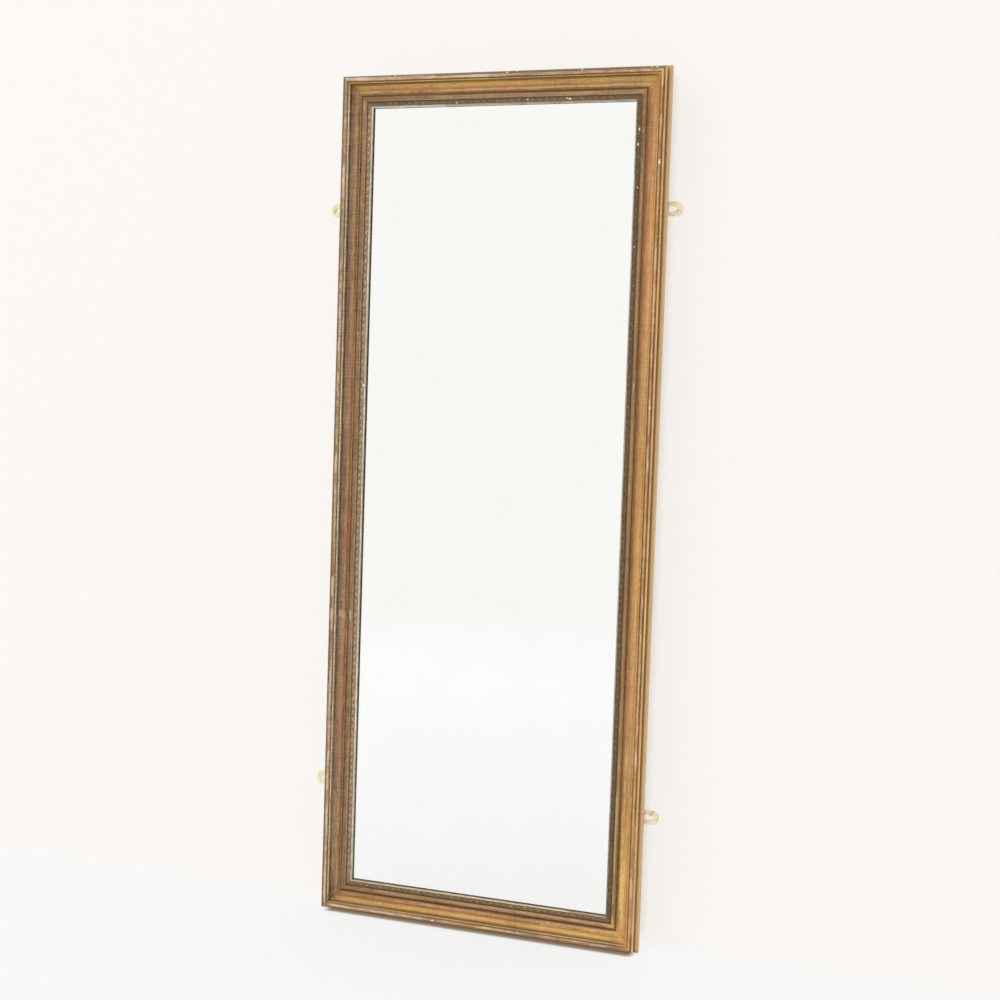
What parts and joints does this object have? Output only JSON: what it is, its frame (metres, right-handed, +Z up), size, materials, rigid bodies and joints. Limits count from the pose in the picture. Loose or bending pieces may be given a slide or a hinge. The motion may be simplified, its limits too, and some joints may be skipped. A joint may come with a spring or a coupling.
{
  "type": "pier mirror",
  "caption": "Tall rectangular pier mirror in a mitred gilt frame with beads, a deep hollow and a narrow leaf ornament, backboarded, with brass keyhole plates for the wall.",
  "frame": {"origin": "centre of the underside of the back frame, on which the mirror stands", "axes": "+Z up along the height, +Y towards the wall, +X to the right as one looks at the glass"},
  "size_m": [0.8, 0.04, 1.85],
  "materials": {
    "gilt_moulding": "aged oil and water gilding over gesso and red bole, rubbed on the beads, dark in the quirks",
    "gilt_composition": "gilded cast composition, toned dark, with small white chips",
    "back_pine": "planed pine, toned tan at the edges",
    "board_pine": "rough-sawn pine, aged brown",
    "block_pine": "sawn pine glue blocks",
    "silvered_glass": "clear polished plate glass, silvered behind",
    "plate_brass": "bright lacquered brass",
    "screw_brass": "bright brass",
    "screw_steel": "dull steel"
  },
  "bodies": {
    "root": {"bottom_moulding": "gilt_moulding", "top_moulding": "gilt_moulding", "left_moulding": "gilt_moulding", "right_moulding": "gilt_moulding", "bottom_ornament": "gilt_composition", "top_ornament": "gilt_composition", "left_ornament": "gilt_composition", "right_ornament": "gilt_composition", "back_bottom_rail": "back_pine", "back_top_rail": "back_pine", "back_left_stile": "back_pine", "back_right_stile": "back_pine", "mirror_glass": "silvered_glass", "glass_blocks": "block_pine", "backboard_1": "board_pine", "backboard_2": "board_pine", "backboard_3": "board_pine", "backboard_4": "board_pine", "backboard_5": "board_pine", "backboard_nails": "screw_steel", "upper_left_plate": "plate_brass", "upper_right_plate": "plate_brass", "lower_left_plate": "plate_brass", "lower_right_plate": "plate_brass", "plate_screws": "screw_brass", "frame_screws": "screw_steel", "corner_screws": "screw_steel"}
  },
  "joints": []
}
